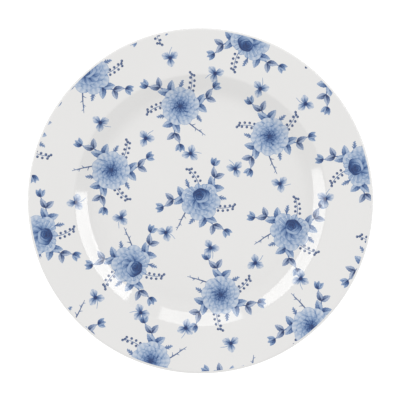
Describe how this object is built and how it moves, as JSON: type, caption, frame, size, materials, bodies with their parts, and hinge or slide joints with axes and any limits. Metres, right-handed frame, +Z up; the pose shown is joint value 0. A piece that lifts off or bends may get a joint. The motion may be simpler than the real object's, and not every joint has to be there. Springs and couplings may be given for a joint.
{
  "type": "dinner plate",
  "caption": "Round rimmed china dinner plate with a shallow flat-floored well, a foot ring and a cobalt floral print over the whole face.",
  "frame": {"origin": "centre of the foot ring's bearing plane, under the middle of the plate", "axes": "+Z up through the middle of the plate, square to the well floor; the plate lies face up; the print reads upright towards +Y"},
  "size_m": [0.27, 0.27, 0.0215],
  "materials": {
    "fired_clay": "fine white fired clay body, bare and slightly matte on the wiped foot ring",
    "clear_glaze": "thin clear gloss glaze over a very light grey-white body",
    "rose_ink": "cobalt transfer print under clear glaze, shaded from deep to pale blue",
    "sprig_ink": "paler cobalt transfer print under clear glaze"
  },
  "bodies": {
    "root": {"base_glaze": "clear_glaze", "cabbage_rose_print_01": "rose_ink", "cabbage_rose_print_02": "rose_ink", "cabbage_rose_print_03": "rose_ink", "cabbage_rose_print_04": "rose_ink", "cabbage_rose_print_05": "rose_ink", "cabbage_rose_print_06": "rose_ink", "cabbage_rose_print_07": "rose_ink", "clay_body": "fired_clay", "glaze_coat": "clear_glaze", "open_rose_print_01": "rose_ink", "open_rose_print_02": "rose_ink", "open_rose_print_03": "rose_ink", "open_rose_print_04": "rose_ink", "open_rose_print_05": "rose_ink", "open_rose_print_06": "rose_ink", "trefoil_print_01": "sprig_ink", "trefoil_print_02": "sprig_ink", "trefoil_print_03": "sprig_ink", "trefoil_print_04": "sprig_ink", "trefoil_print_05": "sprig_ink", "trefoil_print_06": "sprig_ink", "trefoil_print_07": "sprig_ink", "trefoil_print_08": "sprig_ink", "trefoil_print_09": "sprig_ink", "trefoil_print_10": "sprig_ink", "trefoil_print_11": "sprig_ink", "trefoil_print_12": "sprig_ink", "trefoil_print_13": "sprig_ink", "trefoil_print_14": "sprig_ink", "trefoil_print_15": "sprig_ink", "trefoil_print_16": "sprig_ink", "trefoil_print_17": "sprig_ink", "trefoil_print_18": "sprig_ink", "trefoil_print_19": "sprig_ink", "trefoil_print_20": "sprig_ink"}
  },
  "joints": []
}
